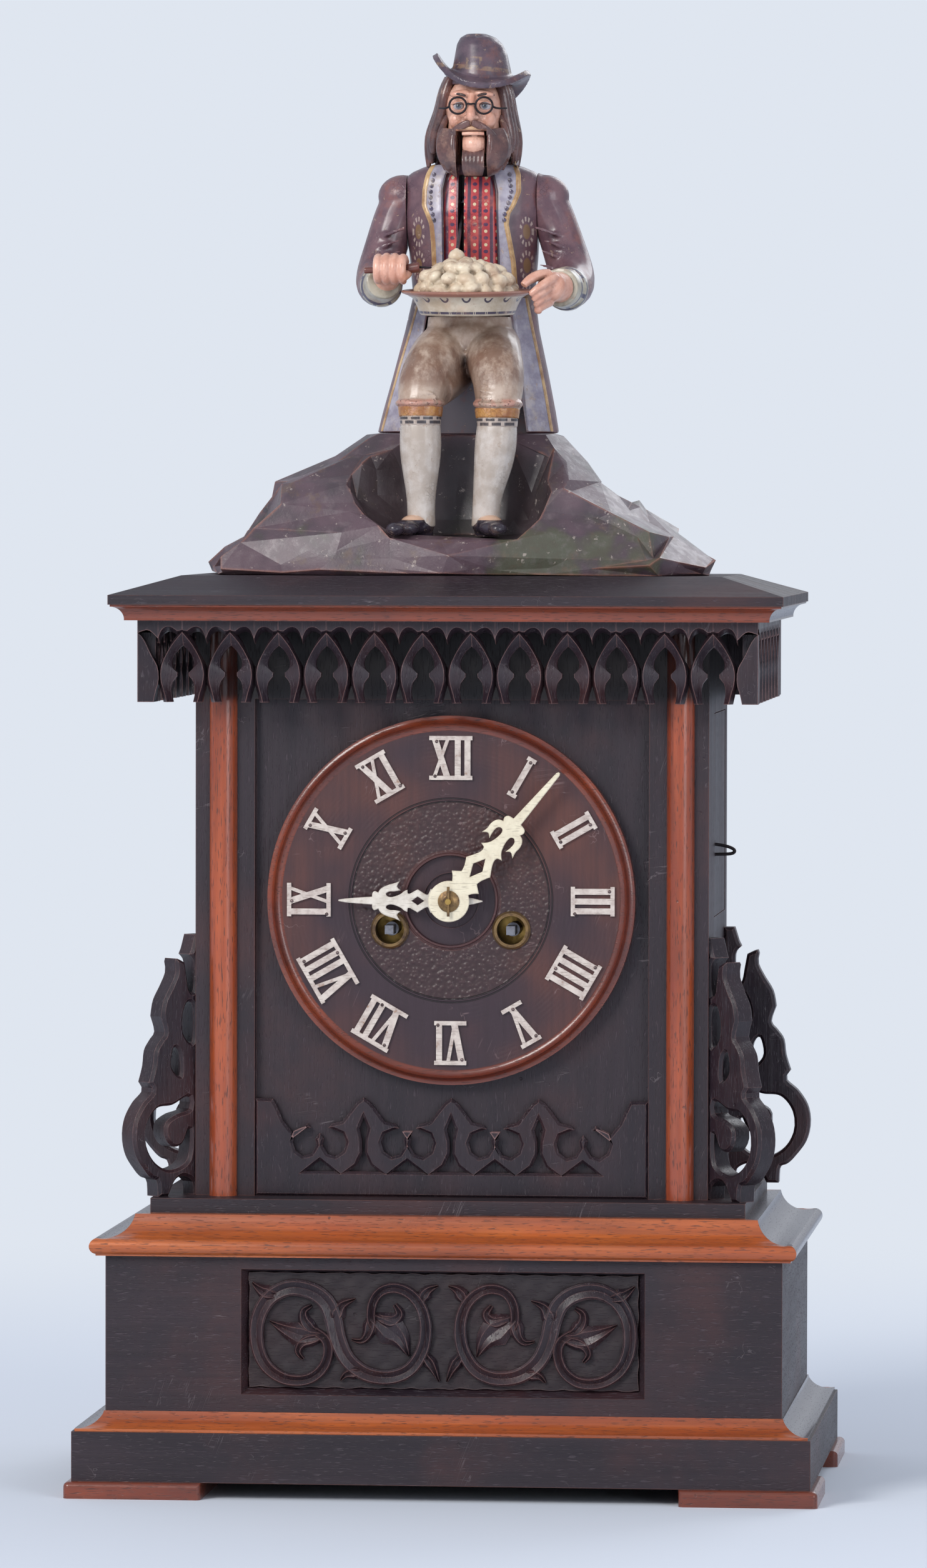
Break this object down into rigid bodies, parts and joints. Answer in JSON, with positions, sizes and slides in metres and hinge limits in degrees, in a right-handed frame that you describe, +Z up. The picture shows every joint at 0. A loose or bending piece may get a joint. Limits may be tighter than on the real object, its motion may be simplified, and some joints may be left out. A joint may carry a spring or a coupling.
{
  "type": "automaton clock",
  "caption": "Wooden mantel clock with bone numerals and hands, pierced frieze and scroll brackets; on a rock above it sits a figure that lifts its arm, drops its jaw and raises a dumpling.",
  "frame": {"origin": "middle of the footprint, on the table", "axes": "+Z up, -Y towards the viewer of the dial, +X to the viewer's right"},
  "size_m": [0.4306, 0.2836, 0.8407],
  "materials": {
    "ebonised_wood": "satin, dark stained and scratched",
    "mahogany": "gloss, figured",
    "bone": "matte, aged bone",
    "brass": "satin",
    "steel": "satin",
    "carved_rock": "satin, carved and stained",
    "coat_wood": "gloss paint on wood",
    "breeches_wood": "satin paint on wood",
    "head_wood": "satin paint on wood",
    "hat_wood": "satin paint on wood",
    "plate_wood": "satin paint on wood",
    "dumpling_wood": "satin paint on wood",
    "wire": "dark wire"
  },
  "bodies": {
    "case": {"plinth_frame": "ebonised_wood", "base_box": "ebonised_wood", "base_panel": "ebonised_wood", "seat_board": "ebonised_wood", "case_side_left": "ebonised_wood", "case_side_right": "ebonised_wood", "front_frame": "ebonised_wood", "dial_panel": "ebonised_wood", "apron_fret": "ebonised_wood", "scroll_brackets": "ebonised_wood", "back_frame": "ebonised_wood", "frieze_arcade": "ebonised_wood", "top_board": "ebonised_wood", "dial_disc": "ebonised_wood", "feet": "mahogany", "plinth_moulding": "mahogany", "base_moulding": "mahogany", "columns": "mahogany", "cornice_moulding": "mahogany", "dial_bead": "mahogany", "numerals": "bone", "winding_collars": "brass", "front_plate": "brass", "back_plate": "brass", "gong": "steel", "rock_base": "carved_rock", "coat": "coat_wood", "left_arm": "coat_wood", "legs": "breeches_wood", "head": "head_wood", "hat": "hat_wood", "plate": "plate_wood", "dumplings": "dumpling_wood", "spectacles": "wire"},
    "minute": {"minute_hand": "bone", "hand_pin": "brass", "centre_wheel": "brass"},
    "hour": {"hour_hand": "bone", "hour_wheel": "brass"},
    "motion": {"motion_wheel": "brass"},
    "third": {"third_wheel": "brass"},
    "escape": {"escape_wheel": "brass"},
    "anchor": {"pallets": "steel"},
    "pendulum": {"pendulum": "steel"},
    "time_drum": {"time_barrel": "brass"},
    "strike_drum": {"strike_barrel": "brass"},
    "time_arbor": {"time_winding_arbor": "steel"},
    "strike_arbor": {"strike_winding_arbor": "steel"},
    "hammer": {"hammer": "steel"},
    "back_leaf": {"back_door": "ebonised_wood", "door_knob": "mahogany"},
    "side_leaf": {"side_door": "ebonised_wood", "side_door_pull": "steel"},
    "arm": {"right_arm": "coat_wood", "fork": "wire", "arm_axle": "steel"},
    "jaw": {"jaw": "head_wood"},
    "lever": {"dumpling_lever": "wire", "moving_dumpling": "dumpling_wood"},
    "rod": {"lift_rod": "steel"}
  },
  "joints": [
    {"name": "minute_hand_turn", "type": "hinge", "parent": "case", "child": "minute", "pos_m": [0, -0.0515, 0.3395], "axis": [0, 1, 0], "continuous": true},
    {"name": "hour_hand_turn", "type": "hinge", "parent": "case", "child": "hour", "pos_m": [0, -0.0515, 0.3395], "axis": [0, 1, 0], "continuous": true},
    {"name": "motion_wheel_turn", "type": "hinge", "parent": "case", "child": "motion", "pos_m": [0, -0.0515, 0.3251], "axis": [0, 1, 0], "continuous": true},
    {"name": "third_wheel_turn", "type": "hinge", "parent": "case", "child": "third", "pos_m": [-0.01699, -0.0515, 0.36086], "axis": [0, 1, 0], "continuous": true},
    {"name": "escape_wheel_turn", "type": "hinge", "parent": "case", "child": "escape", "pos_m": [0, -0.0515, 0.3742], "axis": [0, 1, 0], "continuous": true},
    {"name": "time_barrel_turn", "type": "hinge", "parent": "case", "child": "time_drum", "pos_m": [0.035, -0.0515, 0.3227], "axis": [0, 1, 0], "continuous": true},
    {"name": "strike_barrel_turn", "type": "hinge", "parent": "case", "child": "strike_drum", "pos_m": [-0.035, -0.0515, 0.3227], "axis": [0, 1, 0], "continuous": true},
    {"name": "time_winding_turn", "type": "hinge", "parent": "case", "child": "time_arbor", "pos_m": [0.035, -0.0515, 0.3227], "axis": [0, 1, 0], "continuous": true},
    {"name": "strike_winding_turn", "type": "hinge", "parent": "case", "child": "strike_arbor", "pos_m": [-0.035, -0.0515, 0.3227], "axis": [0, 1, 0], "continuous": true},
    {"name": "pendulum_swing", "type": "hinge", "parent": "case", "child": "pendulum", "pos_m": [0, -0.0515, 0.3904], "axis": [0, 1, 0], "range_deg": [-4, 4]},
    {"name": "pallets_rock", "type": "hinge", "parent": "case", "child": "anchor", "pos_m": [0, -0.0515, 0.3904], "axis": [0, 1, 0], "range_deg": [-4, 4]},
    {"name": "hammer_lift", "type": "hinge", "parent": "case", "child": "hammer", "pos_m": [-0.045, -0.0515, 0.3075], "axis": [0, 1, 0], "range_deg": [0, 18], "stiffness_Nm_per_rad": 0.02, "springref_deg": -17.19},
    {"name": "back_door_swing", "type": "hinge", "parent": "case", "child": "back_leaf", "pos_m": [-0.1125, 0.0695, 0.33], "axis": [0, 0, 1], "range_deg": [0, 90]},
    {"name": "side_door_swing", "type": "hinge", "parent": "case", "child": "side_leaf", "pos_m": [0.143, 0.055, 0.388], "axis": [0, 0, 1], "range_deg": [0, 90]},
    {"name": "right_arm_lift", "type": "hinge", "parent": "case", "child": "arm", "pos_m": [-0.04, 0.014, 0.748], "axis": [-1, 0, 0], "range_deg": [0, 60]},
    {"name": "jaw_drop", "type": "hinge", "parent": "case", "child": "jaw", "pos_m": [0.0055, 0.006, 0.784], "axis": [1, 0, 0], "range_deg": [0, 14]},
    {"name": "dumpling_lift", "type": "hinge", "parent": "case", "child": "lever", "pos_m": [-0.0017, 0.01, 0.742], "axis": [-1, 0, 0], "range_deg": [0, 75]},
    {"name": "lift_rod_slide", "type": "slide", "parent": "case", "child": "rod", "axis": [0, 0, -1], "range_m": [0, 0.0115]}
  ],
  "couplings": [
    {"joint": "hour_hand_turn", "follows": "minute_hand_turn", "ratio": 0.083333},
    {"joint": "motion_wheel_turn", "follows": "minute_hand_turn", "ratio": -0.33333},
    {"joint": "third_wheel_turn", "follows": "minute_hand_turn", "ratio": -12},
    {"joint": "escape_wheel_turn", "follows": "minute_hand_turn", "ratio": 132},
    {"joint": "time_barrel_turn", "follows": "minute_hand_turn", "ratio": -0.16667},
    {"joint": "pallets_rock", "follows": "pendulum_swing", "ratio": 1},
    {"joint": "jaw_drop", "follows": "right_arm_lift", "ratio": 0.23333},
    {"joint": "dumpling_lift", "follows": "right_arm_lift", "ratio": 1.25},
    {"joint": "lift_rod_slide", "follows": "right_arm_lift", "m_per_rad": 0.01098}
  ]
}
